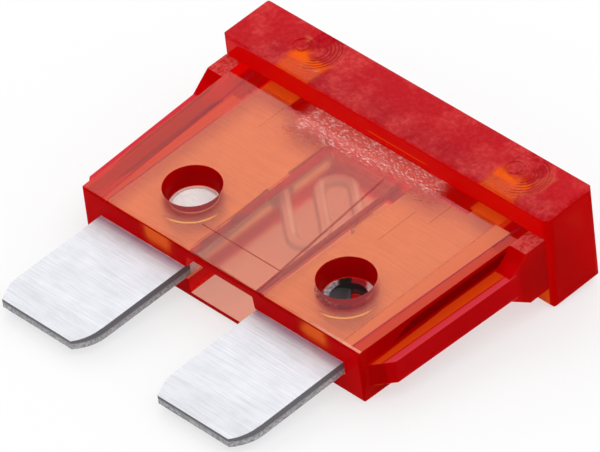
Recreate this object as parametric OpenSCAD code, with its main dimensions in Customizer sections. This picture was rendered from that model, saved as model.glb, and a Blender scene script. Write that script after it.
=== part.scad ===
// Regular-size automotive blade fuse, 10 A: a clear moulded housing over one stamped zinc element.
// It lies on its broad face: width along X, blades towards -Y, head towards +Y, front face up.
// The origin is under the middle of the part, at the level of the head's back face.

/* [Head] */
// Width of the head, end to end
head_w = 19.4; // [19.2:0.1:19.8]
// Depth of the head along the fuse
head_l = 2.95; // [2.6:0.05:3.6]
// Thickness of the head, front face to back face
head_t = 5.0; // [4.4:0.1:5.6]
// Radius of the head's upright corners
head_corner_r = 0.4; // [0.2:0.05:0.6]
// Radius of the head's edges around its front and back faces
head_edge_r = 0.2; // [0.05:0.05:0.4]

/* [Body] */
// Length of the body from its blade end to the head
body_l = 10.0; // [9.7:0.1:11.5]
// Thickness of the body, front face to back face
body_t = 2.78; // [2.6:0.02:3.2]
// Width of the body at the blade end, at its mid-thickness
plate_tip_w = 16.8; // [16.5:0.05:17.1]
// Width of the body where it reaches the shoulders, at its mid-thickness
plate_root_w = 17.4; // [17.1:0.05:17.7]
// Draft of the body's sides, each side, from mid-thickness to the front and back faces
plate_draft = 0.12; // [0.02:0.02:0.2]
// Radius of the body's upright corners at the blade end
plate_corner_r = 0.3; // [0.1:0.05:0.4]
// Radius of the body's long edges at the blade end
plate_edge_r = 0.15; // [0.05:0.05:0.3]

/* [Side flanges and shoulders] */
// Thickness of the side flanges
flange_t = 1.2; // [0.9:0.05:1.5]
// Width over both flanges where their end chamfers stop
flange_tip_w = 18.35; // [18.0:0.05:18.6]
// Width over both flanges and shoulders at the head
flange_root_w = 19.0; // [18.7:0.05:19.1]
// Length of the flanges' end chamfers along the fuse
flange_chamfer_l = 1.25; // [0.6:0.05:2.0]
// Length of the full-thickness shoulders below the head
shoulder_l = 1.15; // [0.8:0.05:2.0]
// Length of the ramps from the flanges up to the shoulders
ramp_l = 1.05; // [0.6:0.05:1.6]

/* [Window chamber] */
// Width of the chamber over the link, at mid-thickness
chamber_w = 4.2; // [3.8:0.05:4.6]
// Draft of the chamber's side walls, each side, from mid-thickness to the windows
chamber_draft = 0.12; // [0.02:0.02:0.3]
// Thickness of the plastic between the chamber and the head
chamber_wall = 1.1; // [0.8:0.05:1.5]
// Thickness of the front window
front_window_t = 0.42; // [0.3:0.02:0.6]
// Thickness of the back window
back_window_t = 0.3; // [0.24:0.02:0.6]

/* [Staking holes in the front] */
// Distance between the two staking holes
stake_pitch = 9.2; // [8.8:0.1:9.6]
// Distance of the staking holes from the blade end
stake_y = 3.05; // [2.6:0.05:3.5]
// Diameter of the staking holes' flared mouths
stake_mouth_d = 2.66; // [2.3:0.02:3.0]
// Diameter below the mouth
stake_d = 2.44; // [2.1:0.02:2.8]
// Diameter where the hole meets the metal
stake_floor_d = 2.26; // [1.9:0.02:2.6]
// Depth of the flared mouth
stake_mouth_l = 0.26; // [0.1:0.02:0.4]

/* [Blades] */
// Width over both blades
blade_span = 14.5; // [14.2:0.1:14.8]
// Width of one blade
blade_w = 5.1; // [4.9:0.05:5.3]
// Thickness of the metal
metal_t = 0.65; // [0.55:0.05:0.75]
// Length of the blades outside the body
blade_out = 6.2; // [5.6:0.1:7.0]
// Radius of the blade tips' long rounded corners
tip_r = 2.0; // [1.2:0.1:2.6]
// How far the long rounded corners cut in from the blade's edge
tip_round_w = 0.62; // [0.3:0.02:0.9]
// Chamfer on the blade tips' other corners, across the blade
tip_chamfer_w = 0.3; // [0.2:0.02:0.7]
// Chamfer on the blade tips' other corners, along the blade
tip_chamfer_l = 0.8; // [0.2:0.05:1.0]
// Length of the slopes coined into the blade tips' front faces
tip_coin_l = 1.2; // [0.8:0.1:1.6]
// How far the slopes have come down at the tips
tip_coin_drop = 0.18; // [0.04:0.02:0.24]

/* [Terminal plates] */
// Distance of the terminal plates' far ends from the head
terminal_stop = 0.55; // [0.3:0.05:0.8]
// Distance of the terminal plates' inner edges from the middle, beside the link's roots
terminal_inner_x = 2.44; // [2.3:0.02:2.6]
// Length of the step where a terminal plate reaches in to carry the link
link_root_l = 1.25; // [1.0:0.05:1.6]
// Width of the test tabs that reach into the head
tab_w = 1.75; // [1.4:0.05:2.2]
// How far the test tabs' outer edges lie inside the blades' outer edges
tab_inset = 0.08; // [0.02:0.02:0.3]
// How far the test tabs stand out of the floors of the test slots
tab_show = 0.2; // [0.05:0.05:0.4]

/* [Fusible link] */
// Width of the link's strip
link_w = 0.56; // [0.4:0.02:0.8]
// Thickness of the link's strip, thinner than the blades
link_t = 0.34; // [0.28:0.02:0.5]
// Chamfer on the link's long edges
link_edge = 0.1; // [0.04:0.02:0.12]
// Distance between the link's parallel runs
link_pitch = 1.5; // [1.2:0.05:1.6]
// Length of the straight middle run between its two bends
link_run = 2.4; // [1.8:0.1:2.6]
// Slant of the runs from the width direction
link_angle = 38; // [30:1:44]
// Distance of the link's centre from the chamber's closed end
link_back = 2.74; // [2.5:0.02:3.2]

/* [Stake marks in the metal] */
// Diameter of the dished dimple in the left terminal
dimple_d = 2.0; // [1.4:0.1:2.2]
// Depth of the dished dimple
dimple_depth = 0.2; // [0.06:0.02:0.26]
// Diameter of the pierced mark in the right terminal, half opening and half tongue
pierce_d = 1.7; // [1.2:0.1:2.0]
// Turn of the pierced mark's straight edge from the width direction
pierce_turn = 51; // [30:1:60]
// Slope of the tongue that was pressed down beside the opening
tongue_slope = 24; // [10:1:30]

/* [Test slots in the head] */
// Width of a test slot
test_slot_w = 2.5; // [2.0:0.1:3.0]
// Thickness of a test slot
test_slot_t = 1.5; // [1.1:0.1:2.2]
// Depth of a test slot from the head's end face
test_slot_l = 1.5; // [1.0:0.1:1.9]

/* [Moulding marks] */
// Distance of the gate marks on the head's front from the middle
gate_x = 6.33; // [5.6:0.01:6.8]
// Distance of the gate marks from the head's end face
gate_end = 1.29; // [0.9:0.01:1.6]
// Outer diameter of a gate mark's ring
gate_d = 0.9; // [0.6:0.05:1.2]
// Width of the ring's groove
gate_groove_w = 0.14; // [0.1:0.02:0.2]
// Depth of the ring's groove
gate_groove_l = 0.05; // [0.02:0.01:0.1]

/* [Clearances] */
// Gap between the metal's faces and the housing
face_gap = 0.03; // [0.02:0.01:0.06]
// Gap between the metal's edges and the housing
edge_gap = 0.06; // [0.04:0.01:0.12]

/* [Hidden] */
$fn = 64;
// Cuts run past the faces that they open by this much
over = 0.5;
total_l = blade_out + body_l + head_l;
body_y = blade_out - total_l / 2;
mid_z = head_t / 2;
shoulder_y = body_l - shoulder_l;
ramp_y = shoulder_y - ramp_l;
blade_inner_x = blade_span / 2 - blade_w;
tab_outer_x = blade_span / 2 - tab_inset;
tab_x = tab_outer_x - tab_w / 2;
terminal_l = body_l - terminal_stop;
tab_y = body_l + head_l - test_slot_l + tab_show;
chamber_l = body_l - chamber_wall;
link_y = chamber_l - link_back;
stake_depth = body_t / 2 - metal_t / 2;
link_reach = (terminal_inner_x + link_pitch) / cos(link_angle);
link_root_y = (link_pitch - blade_inner_x * sin(link_angle)) / cos(link_angle);
front_z = body_t / 2 - front_window_t;
back_z = body_t / 2 - back_window_t;

// Places a piece drawn from the middle of the body's blade end and the metal's mid-plane
module in_frame() {
    translate([0, body_y, mid_z]) children();
}

// Draws its children and their mirror image in the middle plane
module both_sides() {
    children();
    mirror([1, 0, 0]) children();
}

// A plate through the part's thickness, centred on the metal's mid-plane
module slab(t) {
    translate([0, 0, -t / 2]) linear_extrude(t) children();
}

// Rectangle with round corners
module round_rect(w, l, r) {
    translate([r, 0]) square([w - 2 * r, l]);
    translate([0, r]) square([w, l - 2 * r]);
    for (x = [r, w - r], y = [r, l - r]) translate([x, y]) circle(r);
}

// Outline of the body without its flanges, wider towards the shoulders, round at the blade end
module plate_outline() {
    tip = plate_tip_w / 2;
    root = plate_root_w / 2;
    r = plate_corner_r;
    both_sides() {
        polygon([[0, 0], [tip - r, 0], [tip, r], [root, shoulder_y], [root, body_l], [0, body_l]]);
        translate([tip - r, r]) circle(r);
    }
}

// Side view of the body, round at the blade end
module plate_profile() {
    r = plate_edge_r;
    low = -body_t / 2;
    translate([r, low]) square([body_l - r, body_t]);
    translate([0, low + r]) square([body_l, body_t - 2 * r]);
    for (z = [low + r, -low - r]) translate([r, z]) circle(r);
}

// What the draft of the body's right side cuts away above the mid-plane
module draft_cut() {
    taper = atan((plate_root_w - plate_tip_w) / 2 / shoulder_y);
    lean = atan(plate_draft / (body_t / 2));
    translate([plate_tip_w / 2, 0, 0]) rotate([0, 0, -taper]) rotate([0, -lean, 0])
        translate([0, -over, 0]) cube([1, body_l + 2 * over, body_t]);
}

// Body without its flanges
module plates() {
    difference() {
        intersection() {
            slab(body_t) plate_outline();
            translate([-head_w / 2, 0, 0]) rotate([90, 0, 90]) linear_extrude(head_w) plate_profile();
        }
        both_sides() {
            draft_cut();
            mirror([0, 0, 1]) draft_cut();
        }
    }
}

// Outline of the side flanges and shoulders, chamfered at the blade end
module flange_outline() {
    foot = plate_tip_w / 2 - plate_corner_r;
    both_sides() polygon([
        [0, 0], [foot, 0], [flange_tip_w / 2, flange_chamfer_l],
        [flange_root_w / 2, shoulder_y], [flange_root_w / 2, body_l], [0, body_l]
    ]);
}

// Side view of a flange: thin along the body, ramping up to the shoulder on both faces
module flange_profile() {
    thin = flange_t / 2;
    full = body_t / 2;
    polygon([
        [0, -thin], [ramp_y, -thin], [shoulder_y, -full], [body_l, -full],
        [body_l, full], [shoulder_y, full], [ramp_y, thin], [0, thin]
    ]);
}

// Flanges and shoulders: the outline seen from the front, cut to the side view
module flanges() {
    intersection() {
        slab(body_t) flange_outline();
        translate([-head_w / 2, 0, 0]) rotate([90, 0, 90]) linear_extrude(head_w) flange_profile();
    }
}

// Broad head that the fuse is pulled by, with round edges all over
module head() {
    left = -head_w / 2;
    end_y = body_l + head_l;
    intersection() {
        slab(head_t) translate([left, body_l]) round_rect(head_w, head_l, head_corner_r);
        translate([left, 0, 0]) rotate([90, 0, 90]) linear_extrude(head_w)
            translate([body_l, -head_t / 2]) round_rect(head_l, head_t, head_edge_r);
        translate([0, end_y, 0]) rotate([90, 0, 0]) linear_extrude(head_l)
            translate([left, -head_t / 2]) round_rect(head_w, head_t, head_edge_r);
    }
}

// Chamber over the link, open at the blade end, its side walls drafted both ways from the middle
module chamber() {
    mid = chamber_w / 2;
    face = mid - chamber_draft;
    rotate([90, 0, 0]) translate([0, 0, -chamber_l]) linear_extrude(chamber_l + over) polygon([
        [-face, -back_z], [face, -back_z], [mid, 0], [face, front_z], [-face, front_z], [-mid, 0]
    ]);
}

// Thin slot that the stamped element slides into, with a narrow branch for each test tab
module element_slot() {
    half = blade_span / 2 + edge_gap;
    slab(metal_t + 2 * face_gap) {
        translate([-half, -over]) square([2 * half, over + terminal_l + edge_gap]);
        both_sides() translate([tab_x - tab_w / 2 - edge_gap, 0])
            square([tab_w + 2 * edge_gap, tab_y + edge_gap]);
    }
}

// Blind staking hole in the front face, flared at its mouth, down to the metal
module stake_hole() {
    top = body_t / 2;
    floor_z = top - stake_depth;
    throat_z = top - stake_mouth_l;
    translate([0, 0, floor_z - face_gap])
        cylinder(h = throat_z - floor_z + face_gap, d1 = stake_floor_d, d2 = stake_d);
    translate([0, 0, throat_z])
        cylinder(h = stake_mouth_l, d1 = stake_d, d2 = stake_mouth_d);
    translate([0, 0, top]) cylinder(h = over, d = stake_mouth_d);
}

// Test slot in the head's end face, where a probe reaches the tab
module test_slot() {
    end_y = body_l + head_l;
    translate([tab_x - test_slot_w / 2, end_y - test_slot_l, -test_slot_t / 2])
        cube([test_slot_w, test_slot_l + over, test_slot_t]);
}

// Ring groove that the moulding gate leaves on the head's front
module gate_mark() {
    translate([0, 0, head_t / 2 - gate_groove_l]) difference() {
        cylinder(h = gate_groove_l + over, d = gate_d);
        cylinder(h = gate_groove_l + over, d = gate_d - 2 * gate_groove_w);
    }
}

module housing() {
    color([0.8, 0.04, 0.05, 0.7]) in_frame() difference() {
        union() {
            plates();
            flanges();
            head();
        }
        chamber();
        element_slot();
        both_sides() test_slot();
        both_sides() translate([stake_pitch / 2, stake_y, 0]) stake_hole();
        both_sides() translate([gate_x, body_l + head_l - gate_end, 0]) gate_mark();
    }
}

// Blade tip seen from the front, with its left edge at x = 0: the left corner is chamfered and
// the right one is a long round that runs out into the blade's edge
module blade_outline() {
    tip_y = -blade_out;
    difference() {
        translate([0, tip_y]) square([blade_w, blade_out + terminal_l]);
        polygon([
            [-over, tip_y - over], [tip_chamfer_w, tip_y - over], [tip_chamfer_w, tip_y],
            [0, tip_y + tip_chamfer_l], [-over, tip_y + tip_chamfer_l]
        ]);
        tip_round(tip_y);
    }
}

// The stretch beyond the long round at a blade tip's right corner
module tip_round(tip_y) {
    rise = sqrt(tip_r * tip_r - pow(tip_r - tip_round_w, 2));
    difference() {
        translate([blade_w - tip_round_w, tip_y - over]) square([tip_round_w + over, rise + over]);
        translate([blade_w - tip_r, tip_y + rise]) circle(tip_r, $fn = 96);
    }
}

// Outline of both blades with their terminal plates and test tabs
module terminal_outline() {
    for (left = [-blade_span / 2, blade_inner_x]) translate([left, 0]) blade_outline();
    both_sides() translate([tab_x - tab_w / 2, terminal_l - over])
        square([tab_w, tab_y - terminal_l + over]);
}

// What is cut from the right terminal plate's inner edge: all but the step at the link's root,
// whose middle lies at the given height
module terminal_relief(root_y) {
    in_x = blade_inner_x - over;
    low = root_y - link_root_l / 2;
    high = root_y + link_root_l / 2;
    polygon([[in_x, 0], [blade_inner_x, 0], [terminal_inner_x, low], [in_x, low]]);
    translate([in_x, high]) square([terminal_inner_x - in_x, terminal_l]);
}

// Section across the link's strip, with chamfered edges
module link_section() {
    w = link_w / 2;
    t = link_t / 2;
    e = link_edge;
    polygon([
        [-w, -t + e], [-w + e, -t], [w - e, -t], [w, -t + e],
        [w, t - e], [w - e, t], [-w + e, t], [-w, t - e]
    ]);
}

// Straight stretch of the link from the origin along +X
module link_straight(length) {
    rotate([90, 0, 90]) linear_extrude(length) link_section();
}

// One bend of the link, a half ring around the origin that opens towards -X
module link_bend() {
    outer = (link_pitch + link_w) / 2;
    intersection() {
        rotate_extrude() translate([link_pitch / 2, 0]) link_section();
        translate([0, -outer, -link_t / 2]) cube([outer, 2 * outer, link_t]);
    }
}

// Half of the link, from its centre round one bend and back to the terminal plate
module half_link() {
    link_straight(link_run / 2);
    translate([link_run / 2, -link_pitch / 2, 0]) link_bend();
    translate([link_run / 2 - link_reach, -link_pitch, 0]) link_straight(link_reach);
}

// S-shaped fusible link, the same when turned half a turn
module link() {
    translate([0, link_y, 0]) rotate(-link_angle) {
        half_link();
        rotate(180) half_link();
    }
}

// What the coined blade tips lack above the slope of their front faces
module tip_slopes() {
    reach = tip_coin_l + over;
    translate([-blade_span, tip_coin_l - blade_out, metal_t / 2])
        rotate([atan(tip_coin_drop / tip_coin_l), 0, 0])
            translate([0, -reach, 0]) cube([2 * blade_span, reach, 1]);
}

// Mark of the stake that broke through: a half-round opening beside a tongue that slopes into it
module pierce_mark() {
    rotate(-pierce_turn) {
        translate([0, 0, -metal_t]) intersection() {
            cylinder(h = 2 * metal_t, d = pierce_d);
            translate([-pierce_d, 0, 0]) cube([2 * pierce_d, pierce_d, 2 * metal_t]);
        }
        intersection() {
            translate([0, 0, -metal_t]) cylinder(h = 2 * metal_t, d = pierce_d);
            translate([0, -pierce_d / 2, metal_t / 2]) rotate([-tongue_slope, 0, 0])
                translate([-pierce_d, 0, 0]) cube([2 * pierce_d, pierce_d, metal_t]);
        }
    }
}

// Dish that the stake pressed into the metal's front, the cap of a large ball
module dimple() {
    ball_r = (dimple_d * dimple_d / 4 + dimple_depth * dimple_depth) / (2 * dimple_depth);
    translate([0, 0, metal_t / 2 - dimple_depth + ball_r]) sphere(ball_r, $fn = 96);
}

module fuse_element() {
    stake_x = stake_pitch / 2;
    color([0.82, 0.83, 0.85]) in_frame() difference() {
        union() {
            slab(metal_t) difference() {
                terminal_outline();
                terminal_relief(link_y + link_root_y);
                mirror([1, 0, 0]) terminal_relief(link_y - link_root_y);
            }
            link();
        }
        tip_slopes();
        translate([-stake_x, stake_y, 0]) dimple();
        translate([stake_x, stake_y, 0]) pierce_mark();
    }
}

housing();
fuse_element();
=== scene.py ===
from math import radians

import bpy
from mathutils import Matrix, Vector


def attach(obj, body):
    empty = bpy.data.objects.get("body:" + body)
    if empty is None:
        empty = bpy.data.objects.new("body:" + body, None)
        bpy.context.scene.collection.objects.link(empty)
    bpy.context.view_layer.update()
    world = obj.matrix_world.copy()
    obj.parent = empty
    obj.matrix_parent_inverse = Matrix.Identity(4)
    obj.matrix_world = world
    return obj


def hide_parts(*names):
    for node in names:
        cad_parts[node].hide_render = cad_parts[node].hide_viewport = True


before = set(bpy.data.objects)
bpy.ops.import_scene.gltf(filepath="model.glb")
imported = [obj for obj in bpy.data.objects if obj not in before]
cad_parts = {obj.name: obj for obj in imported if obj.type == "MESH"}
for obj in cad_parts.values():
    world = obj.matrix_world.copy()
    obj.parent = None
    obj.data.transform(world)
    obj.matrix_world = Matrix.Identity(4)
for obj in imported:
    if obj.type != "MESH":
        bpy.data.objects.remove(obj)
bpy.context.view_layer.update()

MM = 0.001
# The blade end of the body and the mid-plane of the metal, as part.scad places them
BODY_Y = -3.375 * MM
MID_Z = 2.5 * MM
# Places in millimetres from there: the body's front face, the head's near face, the right staking
# hole, the middle of the link, and just under the metal's front face
FRONT_Z = 1.39
HEAD_START = 10.0
HOLE_X, HOLE_Y = 4.6, 3.05
LINK_Y = 6.16
METAL_Z = 0.315
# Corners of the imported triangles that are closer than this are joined
JOIN_WITHIN = 0.002 * MM
# Turns from triangle to triangle: within a flat face, at its border, and at a sharp edge
SAME_PLANE, FLAT_BORDER, SHARP_EDGE = 0.003, radians(0.2), radians(32)
# The least area of a flat face whose border is kept sharp
FLAT_AREA = 0.6 * MM * MM
# Depth of the finishes' bumps at full height
BUMP_DEPTH = 0.02 * MM
WHITE = (1.0, 1.0, 1.0)


class Value:
    """A node's output: arithmetic on it adds Math nodes to its material."""

    def __init__(self, finish, socket):
        self.finish = finish
        self.socket = socket

    def math(self, operation, *values):
        inputs = dict(enumerate(values))
        return self.finish.node("ShaderNodeMath", {"operation": operation}, inputs)

    def __add__(self, other):
        return self.math("ADD", self, other)

    def __radd__(self, other):
        return self.math("ADD", other, self)

    def __sub__(self, other):
        return self.math("SUBTRACT", self, other)

    def __rsub__(self, other):
        return self.math("SUBTRACT", other, self)

    def __mul__(self, other):
        return self.math("MULTIPLY", self, other)

    def __rmul__(self, other):
        return self.math("MULTIPLY", other, self)

    def __pow__(self, other):
        return self.math("POWER", self, other)

    def __gt__(self, other):
        return self.math("GREATER_THAN", self, other)

    def __lt__(self, other):
        return self.math("LESS_THAN", self, other)

    def __abs__(self):
        return self.math("ABSOLUTE", self)

    def most(self, other):
        return self.math("MAXIMUM", self, other)

    def least(self, other):
        return self.math("MINIMUM", self, other)

    def root(self):
        return self.math("SQRT", self)

    def sine(self):
        return self.math("SINE", self)

    def ramp(self, low, high, to_low=0.0, to_high=1.0):
        """Maps low..high smoothly to to_low..to_high and stays there outside."""
        inputs = {
            "Value": self, "From Min": low, "From Max": high, "To Min": to_low, "To Max": to_high,
        }
        return self.finish.node("ShaderNodeMapRange", {"interpolation_type": "SMOOTHSTEP"}, inputs)


class Finish:
    """One material, built node by node."""

    def __init__(self, name, world=None):
        self.block = world or bpy.data.materials.new(name)
        self.block.use_nodes = True
        self.tree = self.block.node_tree
        self.tree.nodes.clear()

    def node(self, kind, settings=None, inputs=None, out=0):
        made = self.tree.nodes.new(kind)
        for key, value in (settings or {}).items():
            setattr(made, key, value)
        for key, value in (inputs or {}).items():
            socket = made.inputs[key]
            if isinstance(value, Value):
                self.tree.links.new(value.socket, socket)
            elif socket.type == "RGBA":
                socket.default_value = (*value, 1.0)
            else:
                socket.default_value = value
        if not made.outputs:
            return None
        return Value(self, made.outputs[out])

    def place(self):
        """Object coordinates in millimetres from the middle of the body's blade end."""
        spot = self.node("ShaderNodeTexCoord", out="Object")
        middle = (0.0, -BODY_Y / MM, -MID_Z / MM)
        inputs = {"Vector": spot, "Location": middle, "Scale": (1 / MM,) * 3}
        return self.node("ShaderNodeMapping", {"vector_type": "POINT"}, inputs)

    def split(self, vector):
        return [self.node("ShaderNodeSeparateXYZ", None, {"Vector": vector}, k) for k in range(3)]

    def stretched(self, vector, x, y, z):
        inputs = {0: vector, 1: (x, y, z)}
        return self.node("ShaderNodeVectorMath", {"operation": "MULTIPLY"}, inputs)

    def noise(self, vector, scale, detail=3.0, roughness=0.55):
        inputs = {"Vector": vector, "Scale": scale, "Detail": detail, "Roughness": roughness}
        return self.node("ShaderNodeTexNoise", None, inputs, "Fac")

    def mix(self, factor, first, second):
        inputs = {0: factor, 6: first, 7: second}
        return self.node("ShaderNodeMix", {"data_type": "RGBA"}, inputs, 2)

    def blend(self, factor, first, second):
        return self.node("ShaderNodeMixShader", None, {0: factor, 1: first, 2: second})

    def bump(self, height, strength):
        inputs = {"Height": height, "Strength": strength, "Distance": BUMP_DEPTH}
        return self.node("ShaderNodeBump", None, inputs)

    def clear_view(self):
        """One for what the camera sees directly, in a reflection or through the plastic."""
        kinds = ("Is Camera Ray", "Is Glossy Ray", "Is Transmission Ray")
        first, second, third = [self.node("ShaderNodeLightPath", out=kind) for kind in kinds]
        return (first + second + third).least(1.0)

    def shader(self, inputs):
        return self.node("ShaderNodeBsdfPrincipled", None, inputs)

    def output(self, surface, volume=None):
        for_world = isinstance(self.block, bpy.types.World)
        kind = "ShaderNodeOutputWorld" if for_world else "ShaderNodeOutputMaterial"
        inputs = {"Surface": surface}
        if volume:
            inputs["Volume"] = volume
        self.node(kind, None, inputs)
        return self.block


# Camera

lens = bpy.data.cameras.new("camera")
lens.sensor_width = 36.0
lens.lens = 505.32
lens.clip_start = 0.01
camera = bpy.data.objects.new("camera", lens)
camera.location = (201.923 * MM, -171.274 * MM, 241.681 * MM)
camera.rotation_euler = (radians(47.83400), radians(5.35378), radians(44.62863))
bpy.context.scene.collection.objects.link(camera)
bpy.context.scene.camera = camera
bpy.context.scene.view_settings.view_transform = "Standard"

# Light runs a long way through the clear plastic, from wall to wall
paths = bpy.context.scene.cycles
paths.max_bounces = 32
paths.transmission_bounces = 32
paths.glossy_bounces = 16


# Pieces

def deselect():
    if bpy.context.mode != "OBJECT":
        bpy.ops.object.mode_set(mode="OBJECT")
    bpy.ops.object.select_all(action="DESELECT")


def only(piece):
    deselect()
    piece.select_set(True)
    bpy.context.view_layer.objects.active = piece


def merged_copy(node, name):
    """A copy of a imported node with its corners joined."""
    only(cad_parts[node])
    bpy.ops.object.duplicate()
    piece = bpy.context.active_object
    piece.name = name
    piece.data.name = name
    bpy.ops.object.mode_set(mode="EDIT")
    bpy.ops.mesh.select_all(action="SELECT")
    bpy.ops.mesh.remove_doubles(threshold=JOIN_WITHIN)
    bpy.ops.mesh.select_all(action="DESELECT")
    bpy.ops.object.mode_set(mode="OBJECT")
    return piece


def faces_beside_edges(mesh):
    """The two triangles beside each edge, by the edge's pair of corners."""
    across = {}
    for face in mesh.polygons:
        for edge in face.edge_keys:
            across.setdefault(edge, []).append(face.index)
    return across


def flat_faces(mesh, across):
    """Numbers of the triangles that belong to flat faces of at least the least area."""
    beside = {face.index: [] for face in mesh.polygons}
    for first, second in across.values():
        if mesh.polygons[first].normal.angle(mesh.polygons[second].normal, 1.0) < SAME_PLANE:
            beside[first].append(second)
            beside[second].append(first)
    chosen, seen = set(), set()
    for start in beside:
        if start in seen:
            continue
        group, todo = [], [start]
        seen.add(start)
        while todo:
            here = todo.pop()
            group.append(here)
            fresh = [k for k in beside[here] if k not in seen]
            seen.update(fresh)
            todo.extend(fresh)
        if sum(mesh.polygons[k].area for k in group) >= FLAT_AREA:
            chosen.update(group)
    return chosen


def smooth(piece):
    """Smooth round faces, with sharp corners and sharp borders around the flat faces."""
    only(piece)
    mesh = piece.data
    across = faces_beside_edges(mesh)
    flat = flat_faces(mesh, across)
    bpy.ops.object.mode_set(mode="EDIT")
    bpy.ops.mesh.select_all(action="SELECT")
    bpy.ops.mesh.customdata_custom_splitnormals_clear()
    bpy.ops.mesh.mark_sharp(clear=True)
    bpy.ops.mesh.faces_shade_smooth()
    bpy.ops.mesh.select_mode(type="EDGE")
    bpy.ops.mesh.select_all(action="DESELECT")
    bpy.ops.object.mode_set(mode="OBJECT")
    for edge in mesh.edges:
        first, second = across[edge.key]
        turn = mesh.polygons[first].normal.angle(mesh.polygons[second].normal, 0.0)
        border = turn > FLAT_BORDER and (first in flat or second in flat)
        edge.select = turn > SHARP_EDGE or border
    bpy.ops.object.mode_set(mode="EDIT")
    bpy.ops.mesh.mark_sharp()
    bpy.ops.mesh.select_all(action="DESELECT")
    bpy.ops.object.mode_set(mode="OBJECT")


plastic_piece = merged_copy("housing", "clear_housing")
smooth(plastic_piece)
element_piece = merged_copy("fuse_element", "stamped_element")
smooth(element_piece)


# Finishes: a mask is one inside its place and zero outside

def near(x, y, x_mid, y_mid):
    """Distance from a place on a face."""
    return ((x - x_mid) ** 2.0 + (y - y_mid) ** 2.0).root()


def between(value, low, high, soft):
    """One between two limits, falling off smoothly outside them."""
    return value.ramp(low - soft, low + soft) * value.ramp(high - soft, high + soft, 1.0, 0.0)


def either(first, *others):
    """The strongest of several masks."""
    for other in others:
        first = first.most(other)
    return first


class Housing:
    """Noises over the clear housing, and masks of its main places."""

    def __init__(self, f):
        spot = f.place()
        x, y, z = f.split(spot)
        side, height = abs(x), abs(z)
        self.x, self.y, self.z, self.side, self.height = x, y, z, side, height
        self.clouds = f.noise(spot, 0.45, 4.0, 0.6)
        self.speckle = f.noise(spot, 4.5, 4.0, 0.75)
        self.grit = f.noise(spot, 7.0, 3.0, 0.7)
        self.wander = f.noise(spot, 1.3, 3.0, 0.6) - 0.5
        self.crinkle = f.noise(f.stretched(spot, 5.5, 17.0, 17.0), 1.0, 3.0, 0.6)

        # Walls of the staking holes
        in_hole = near(side, y, HOLE_X, HOLE_Y) < 1.42
        self.hole_wall = in_hole * (z > 0.4) * (z < FRONT_Z - 0.005)
        # Walls around the chamber, the metal and the test slots
        within = (height < 1.12) * (side < 7.7) * (y > 0.02) * (y < 12.9)
        self.within = within * (1.0 - self.hole_wall)
        # Broad faces of the body, and of the head
        broad = (height > FRONT_Z - 0.02) * (height < FRONT_Z + 0.02)
        self.broad = broad * (y < HEAD_START - 0.01) * (side < 8.6)
        self.front = self.broad * (z > 0.0)
        self.head_faces = (y > HEAD_START + 0.01) * (height > 2.4)
        self.head_front = (y > HEAD_START + 0.01) * (z > 2.4)
        # Face of the head towards the body
        step = (y > HEAD_START - 0.02) * (y < HEAD_START + 0.02)
        self.head_step = step * (height > FRONT_Z)
        # All that lets pale light through. The other outer faces are hazed deep red.
        under_pierced = (near(x, y, HOLE_X, HOLE_Y) < 1.0) * (abs(z + 0.355) < 0.05)
        self.pale = either(self.broad, self.within, self.head_front) * (1.0 - under_pierced)
        # Inner faces of both windows, and the chamber's side and end walls
        self.window = (side < 2.15) * (y < 8.88) * (height > 0.9) * (height < 1.15)
        walls = between(side, 1.94, 2.2, 0.01).most(between(y, 8.86, 8.94, 0.01) * (side < 2.2))
        self.walls = walls * (height < 0.9) * (y < 8.95) * (y > 0.02)
        # Frosted band across the front face, up to the head, and the white flecks in it
        ragged = y + self.wander * 0.35 + (side - 3.0).ramp(0.0, 1.5, 0.0, 0.25)
        ragged = ragged + (self.crinkle - 0.5) * 1.2 - x * 0.07
        band = self.front * between(x + self.wander * 0.9, -4.2, 4.1, 0.5)
        self.band = band * ragged.ramp(8.1, 9.2)
        self.fleck = self.crinkle.ramp(0.53, 0.63)
        # Flow rings on one side of each gate
        rings = self.flow_rings(-5.67, 11.76) + self.flow_rings(6.82, 11.56)
        self.ripple = rings * self.head_faces * (z > 0.0)

    def flow_rings(self, x_mid, y_mid):
        away = near(self.x, self.y, x_mid, y_mid)
        rings = (away * 38.0 + self.wander * 5.0).sine()
        return rings * between(away, 0.4, 1.35, 0.15) * (self.x - x_mid).ramp(-0.1, 0.5)


def plastic_colour(f, at):
    """Colour of the light that passes each face of the clear plastic."""
    deep = f.mix(at.clouds.ramp(0.35, 0.65), (0.93, 0.035, 0.035), (0.98, 0.05, 0.04))
    colour = f.mix(at.pale, deep, (1.0, 0.98, 0.80))
    # Deeper past the metal's outer edges and on the outer walls of its slot
    colour = f.mix(at.broad * (at.side > 7.3), colour, (0.94, 0.36, 0.28))
    colour = f.mix(at.within * between(at.side, 7.26, 7.4, 0.005), colour, (0.95, 0.45, 0.34))
    windows = f.mix(at.z > 0.0, (0.88, 0.33, 0.32), (1.0, 0.73, 0.77))
    colour = f.mix(at.window, colour, windows)
    return f.mix(at.walls, colour, (0.95, 0.25, 0.22))


# A mark in the plastic's haze is a row: where it is, its colour, what share of the haze there is
# opaque colour, and how dense the haze is.
# Many of these colours are painted light and shade. None leaves that one as it is around the mark.

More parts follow.
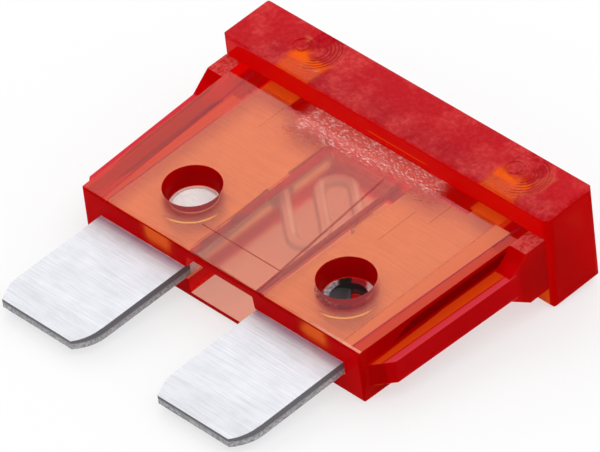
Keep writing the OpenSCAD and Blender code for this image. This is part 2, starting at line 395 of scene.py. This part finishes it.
def side_marks(at):
    """Marks on the staking holes' walls (painted shade), the outer faces (painted light) and the
    shoulders.
    """
    y, z, side = at.y, at.z, at.side
    # Painted light: a brighter red haze on the blade end and the outer sides
    lit = (1.0 - at.pale) * (1.0 - at.hole_wall) * (y < 0.03).most((side > 8.9) * (y < 8.4))
    shoulder = (z > FRONT_Z - 0.01) * (z < FRONT_Z + 0.01)
    shoulder = shoulder * (side > 8.45) * (y < HEAD_START - 0.01)
    return [
        # Painted shade: dark haze on the staking holes' walls
        (at.hole_wall, (0.30, 0.0006, 0.0015), 0.7, None),
        (lit, (0.74, 0.0006, 0.005), 0.3, None),
        (shoulder, (0.72, 0.10, 0.09), at.grit.ramp(0.3, 0.7), None),
    ]


def head_marks(f, at):
    """Marks on the head: clouds, flow rings, and painted light: the test tabs' glints, a glint
    line and lit corners.
    """
    x, y, z = at.x, at.y, at.z
    bloom = at.clouds.ramp(0.40, 0.60) * 0.6 + at.speckle.ramp(0.42, 0.6) * 0.4
    clouded = f.mix(bloom, (0.43, 0.003, 0.024), (0.65, 0.062, 0.058))
    # Painted orange glints by the gates, standing in for the tabs shining through, up to the test
    # slots' mouths
    off = x + at.wander * 0.5
    gates = between(off, -6.4, -4.35, 0.2).most(between(off, 5.75, 7.75, 0.2)) * at.head_front
    mouths = gates * y.ramp(10.85, 11.05)
    painted_tab_glints = gates * (y + at.wander * 1.4).ramp(11.1, 11.7, 1.0, 0.0)
    cloud_density = bloom * 0.18 + 0.7 - painted_tab_glints * y.ramp(10.7, 11.1, 0.35, -0.2)
    arcs = at.ripple.ramp(0.35, 0.85)
    # Painted glint: an orange line across the head's near face
    glint = at.head_step * between(x, -1.0, 2.7, 0.3) * between(z, 1.70, 1.80, 0.04)
    # Painted light: orange at the outer lower corners of the head's near face
    corner = at.head_step * (z < -1.4) * (at.side > 8.4)
    return [
        (at.head_faces, clouded, bloom * 0.5 + 0.35, cloud_density),
        (mouths, None, None, 0.98),
        (painted_tab_glints, (0.88, 0.115, 0.006), 0.9, None),
        (arcs, (0.36, 0.012, 0.015), 0.9, 0.7),
        (at.head_step, None, 0.4, None),
        (glint, (0.88, 0.075, 0.003), 1.0, 0.9),
        (corner, (0.92, 0.14, 0.004), 1.0, 0.87),
    ]


def front_marks(at):
    """Marks on the body's front face: painted reflection, shade and light by the metal's edges,
    holes and tabs, frost and scratches.
    """
    x, y, front = at.x, at.y, at.front
    right = x > 0.0
    # Past the metal: a painted reflection of it in the side wall, a purple line, then deep red
    past = x - (y * 0.042 + 7.7)
    painted_reflection = front * x.ramp(7.15, 7.3) * past.ramp(-0.03, 0.03, 1.0, 0.0) * (y < 9.4)
    on_left = between(x + y * 0.063, -7.12, -7.0, 0.04) * 0.8
    purple = front * between(past, 0.0, 0.1, 0.03).most(on_left)
    outer = front * past.ramp(0.05, 0.15).most(x.ramp(-6.95, -6.8, 1.0, 0.0)) * (y < 9.3)
    # Painted shade: dark lines along the chamber's side walls
    right_wall_shade = between(x + y * 0.088, 2.22, 2.34, 0.04) * between(y, 0.1, 9.3, 0.3)
    left_wall_shade = between(x, -1.91, -1.84, 0.04) * between(y, 0.3, 8.4, 0.3) * 0.6
    wall_shade_lines = front * right_wall_shade.most(left_wall_shade)
    # Painted highlight: a pale line along the blade-end edge, stronger to the right
    edge_highlight = front * (y < 0.2) * x.ramp(3.0, 6.5)
    # Painted light: orange where the lit test tabs show through
    tabs = between(x, -6.7, -4.95, 0.06).most(between(x, 5.65, 7.4, 0.06))
    tabs = tabs * front * (y > 9.45)
    # Shade of each staking hole on its near side, and the light caught beyond it
    out, back = x - (right * 9.3 - 4.05), y - (2.5 - right * 0.1)
    ring = (out ** 2.0 + back ** 2.0).root()
    shade = front * ring.ramp(1.05, 1.45, 1.0, 0.0)
    caught = front * between(ring, 1.5, 1.64, 0.05) * (out - back).ramp(1.2, 2.0)
    # Witness line of the mould over the chamber's mouth, and scratches
    line = front * between(y, 1.57, 1.62, 0.012) * between(x, -2.53, 2.21, 0.02)
    scratches = front * either(
        between(x, 4.0, 4.03, 0.01) * between(y, 5.6, 7.9, 0.1),
        between(x, 4.96, 4.99, 0.01) * between(y, 7.7, 9.2, 0.1),
        between(x, -5.05, -5.02, 0.01) * between(y, 7.5, 9.1, 0.1),
    )
    purple_colour, line_colour = (0.28, 0.013, 0.045), (0.25, 0.002, 0.004)
    return [
        (front * (1.0 - at.band), None, 0.8, None),
        (outer, (0.58, 0.05, 0.022), None, right.ramp(0.0, 1.0, 0.4, 0.65)),
        (purple, purple_colour, None, 0.7),
        (wall_shade_lines, purple_colour, None, 0.6),
        (painted_reflection, (0.82, 0.235, 0.115), None, 0.8),
        (edge_highlight, (0.95, 0.45, 0.34), None, 0.5),
        (shade, (0.26, 0.012, 0.02), None, 0.62),
        (caught, (1.0, 0.46, 0.17), None, 0.8),
        (tabs, (0.86, 0.10, 0.004), None, 0.6),
        (at.band, (0.87, 0.19, 0.155), 0.85, at.fleck * 0.35 + 0.6),
        (at.band * at.fleck, (0.94, 0.62, 0.57), None, None),
        (line, line_colour, 1.0, 0.8),
        (scratches, line_colour, None, 0.4),
    ]


def end_and_flange_marks(at):
    """Marks on the chamber's walls, painted light on the blade end, and painted light and shade on
    the flanges.
    """
    x, y, z, side, height = at.x, at.y, at.z, at.side, at.height
    # Painted light: the metal's orange shine through the blade end
    off = x + at.wander * 0.8
    glow = between(off, -4.5, -2.9, 0.4).most(between(off, 4.9, 6.5, 0.4))
    glow = glow * (y < 0.03) * z.ramp(0.15, 0.95)
    # Painted light and shade on each flange: a bright strip, a pale highlight on its rim, and
    # shade in the gutter beside the body
    flat_flange = between(height, 0.57, 0.63, 0.005) * (side > 8.5) * (y < 8.2)
    rim = side - (y * 0.048 + 9.115)
    flange_shine = flat_flange * rim.ramp(-0.4, -0.34, 1.0, 0.0)
    rim_highlight = flat_flange * between(rim, -0.33, 0.04, 0.03)
    gutter_shade = between(side, 8.4, 8.63, 0.005) * between(height, 0.72, 1.22, 0.1) * (y < 8.6)
    return [
        (at.walls, (0.52, 0.035, 0.055), 0.5, 0.4),
        (glow, (0.82, 0.11, 0.014), 1.0, None),
        (flange_shine, (0.72, 0.06, 0.004), 0.85, None),
        (rim_highlight, (0.72, 0.042, 0.06), 0.9, None),
        (gutter_shade, (0.10, 0.0004, 0.0006), 0.75, None),
    ]


def clear_red():
    f = Finish("clear_red_plastic")
    at = Housing(f)
    # Colour of the opaque haze, and of the painted light and shade on it
    haze_and_painted_light = (0.48, 0.0006, 0.0012)
    coloured = (1.0 - at.pale) * 0.06
    density = (1.0 - at.pale) * 0.92 - at.head_step * 0.35
    marks = side_marks(at) + head_marks(f, at) + front_marks(at) + end_and_flange_marks(at)
    for place, tint, share, thickness in marks:
        if tint:
            haze_and_painted_light = f.mix(place, haze_and_painted_light, tint)
        if share:
            coloured = coloured.most(place * share)
        if thickness:
            density = density.most(place * thickness)

    relief = at.grit * at.head_faces * 0.5 + at.ripple * 1.5 + at.band * at.crinkle * 3.0
    bump = f.bump(relief, 0.7)
    matt = either(
        at.head_faces * at.clouds.ramp(0.3, 0.7, 0.08, 0.22),
        at.band * 0.25, at.window * 0.2, at.walls * 0.18,
    )
    clear = f.shader({
        "Base Color": plastic_colour(f, at),
        "Roughness": matt + 0.03,
        "IOR": 1.55,
        "Specular Tint": (0.12, 0.12, 0.12),
        "Transmission Weight": 1.0,
        "Coat Weight": at.broad * 0.4 + at.band * 0.5,
        "Coat Roughness": 0.03,
        "Normal": bump,
    })
    milky = f.node("ShaderNodeBsdfTranslucent", None, {"Color": (0.78, 0.0012, 0.003)})
    opaque_haze = f.shader({
        "Base Color": haze_and_painted_light,
        "Roughness": 0.6,
        "Specular IOR Level": 0.0,
        "Normal": bump,
    })
    surface = f.blend(density, clear, f.blend(coloured, milky, opaque_haze))
    tinted = {"Color": (0.986, 0.414, 0.0), "Density": 1050.0}
    return f.output(surface, f.node("ShaderNodeVolumeAbsorption", None, tinted))


def link_and_highlights(x, y, z):
    """The fusible link, and painted highlights along its three straight runs."""
    # The runs slant by 38 degrees
    slant_cos, slant_sin = 0.78801, 0.61566
    across = x * slant_sin + (y - LINK_Y) * slant_cos
    along = x * slant_cos - (y - LINK_Y) * slant_sin
    link = (abs(x) < 2.3) * (abs(z) < 0.18) * (y > 3.0)
    runs = either(
        between(across, -1.46, -1.24, 0.05),
        between(across, 0.1, 0.27, 0.05),
        between(across, 1.5, 1.76, 0.05),
    )
    return link, runs * between(along, -2.0, 1.25, 0.3)


def zinc():
    f = Finish("zinc_strip")
    spot = f.place()
    x, y, z = f.split(spot)
    # Rolled grain across the blades
    grain = f.noise(f.stretched(spot, 0.8, 22.0, 22.0), 1.0, 5.0, 0.65)
    scratch = f.noise(f.stretched(spot, 0.35, 14.0, 14.0), 1.0, 2.0, 0.5)
    patches = f.noise(spot, 1.1, 3.0)
    tone = (grain * 0.55 + scratch * 0.25 + patches * 0.2).ramp(0.34, 0.66)
    bare = f.mix(tone, (0.555, 0.565, 0.60), (0.74, 0.745, 0.78))
    # Painted light: the metal under the plastic is paler than the bare blades, so that it looks
    # lit through the plastic
    lit_under_plastic = f.mix(tone, (0.85, 0.81, 0.78), (1.0, 1.0, 0.99))
    colour = f.mix(y.ramp(-0.1, 0.1), bare, lit_under_plastic)
    # Painted reflection: purple shine of the housing on the blades' roots
    root = between(y + (grain - 0.5) * 0.5, -0.22, 0.4, 0.3)
    colour = f.mix(root * tone.ramp(0.0, 1.0, 0.75, 0.3), colour, (0.36, 0.15, 0.40))
    # Painted highlights: white, less metallic streaks along the link's runs
    link, run_highlight = link_and_highlights(x, y, z)
    colour = f.mix(link, colour, f.mix(run_highlight, (0.84, 0.64, 0.66), WHITE))

    # Sheared edges: a dark smooth band at the top, torn and paler below it
    pierced = near(x, y, HOLE_X, HOLE_Y) < 0.9
    top = (y * 0.15 + 0.75).least(0.0) + METAL_Z
    cut = (z < top) * (z > -METAL_Z) * (y < 0.3).most(pierced)
    torn = f.noise(f.stretched(spot, 7.0, 7.0, 11.0), 1.0, 4.0, 0.7)
    mottled = f.mix(torn.ramp(0.38, 0.62), (0.24, 0.235, 0.245), (0.50, 0.49, 0.51))
    edge = z + (torn - 0.5) * 0.3
    sheared = f.mix(edge.ramp(-0.06, 0.02), mottled, (0.15, 0.14, 0.15))
    # Painted shade: the pierced opening's cut walls nearly black
    sheared = f.mix(pierced * 0.6, sheared, (0.03, 0.03, 0.03))
    colour = f.mix(cut, colour, sheared)

    # Floor of the right staking hole: torn grey, a dark cleft in painted shade, painted red light,
    # then a pale rim of painted light
    staked = (near(x, y, HOLE_X, HOLE_Y) < 1.4) * (z > METAL_Z)
    across = ((x - HOLE_X) + (y - HOLE_Y)) * 0.7071 + (torn - 0.5) * 0.3
    floor = f.mix(torn.ramp(0.4, 0.6), (0.20, 0.20, 0.22), (0.72, 0.73, 0.78))
    floor = f.mix(across.ramp(-0.5, -0.35), floor, (0.02, 0.018, 0.018))
    floor = f.mix(across.ramp(0.1, 0.2), floor, (0.50, 0.02, 0.03))
    floor = f.mix(across.ramp(0.7, 0.85), floor, (0.85, 0.66, 0.70))
    colour = f.mix(staked, colour, floor)
    surface = f.shader({
        "Base Color": colour,
        "Metallic": 0.7 - link * run_highlight * 0.6,
        "Roughness": grain.ramp(0.2, 0.8, 0.5, 0.65),
        "Normal": f.bump(grain + torn * cut * 2.0, 0.3),
    })
    return f.output(surface)


def dress(piece, material, node):
    piece.data.materials.clear()
    piece.data.materials.append(material)
    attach(piece, "root")
    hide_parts(node)


dress(plastic_piece, clear_red(), "housing")
dress(element_piece, zinc(), "fuse_element")


# Studio

def pale_floor():
    f = Finish("pale_floor")
    matt = f.node("ShaderNodeBsdfDiffuse", None, {"Color": (0.9, 0.9, 0.9)})
    white = f.node("ShaderNodeEmission", None, {"Color": WHITE, "Strength": 1.0})
    # Part matt, so that the fuse's shadow stays on it
    return f.output(f.blend(f.clear_view() * 0.6, matt, white))


def build_floor():
    """A plane just under the two edges that the fuse rests on: the head's and the body's."""
    deselect()
    bpy.ops.mesh.primitive_plane_add(size=1.0, location=(0, 0, 0))
    floor = bpy.context.active_object
    floor.name = "floor"
    front = Vector((0, BODY_Y + 0.06 * MM, MID_Z - FRONT_Z * MM + 0.02 * MM))
    back = Vector((0, BODY_Y + HEAD_START * MM + 0.1 * MM, -0.02 * MM))
    slope = (back.z - front.z) / (back.y - front.y)
    drop = 0.03 * MM
    bpy.ops.object.mode_set(mode="EDIT")
    bpy.ops.mesh.select_all(action="SELECT")
    bpy.ops.mesh.subdivide(number_cuts=1)
    bpy.ops.object.mode_set(mode="OBJECT")
    for corner in floor.data.vertices:
        corner.co.z = front.z + slope * (corner.co.y - front.y) - drop
    floor.data.materials.append(pale_floor())


def softbox(name, toward, distance, size, power):
    """A square lamp that faces the fuse from the given direction."""
    light = bpy.data.lights.new(name, "AREA")
    light.shape = "SQUARE"
    light.size = size
    light.energy = power
    lamp = bpy.data.objects.new(name, light)
    way = Vector(toward).normalized()
    lamp.location = way * distance
    lamp.rotation_euler = way.to_track_quat("Z", "Y").to_euler()
    lamp.visible_camera = False
    bpy.context.scene.collection.objects.link(lamp)


build_floor()
toward_back_left = (-0.5653, 0.4835, 0.6684)
softbox("back_left_softbox", toward_back_left, distance=0.4, size=0.3, power=0.3)
softbox("top_softbox", toward=(0.3, 0.1, 1.0), distance=0.45, size=0.4, power=0.4)

sky = Finish("studio", bpy.data.worlds.new("studio"))
# Pure white behind the fuse, a little less where it lights the fuse
strength = 0.85 + 0.15 * sky.clear_view()
sky.output(sky.node("ShaderNodeBackground", None, {"Color": WHITE, "Strength": strength}))
bpy.context.scene.world = sky.block
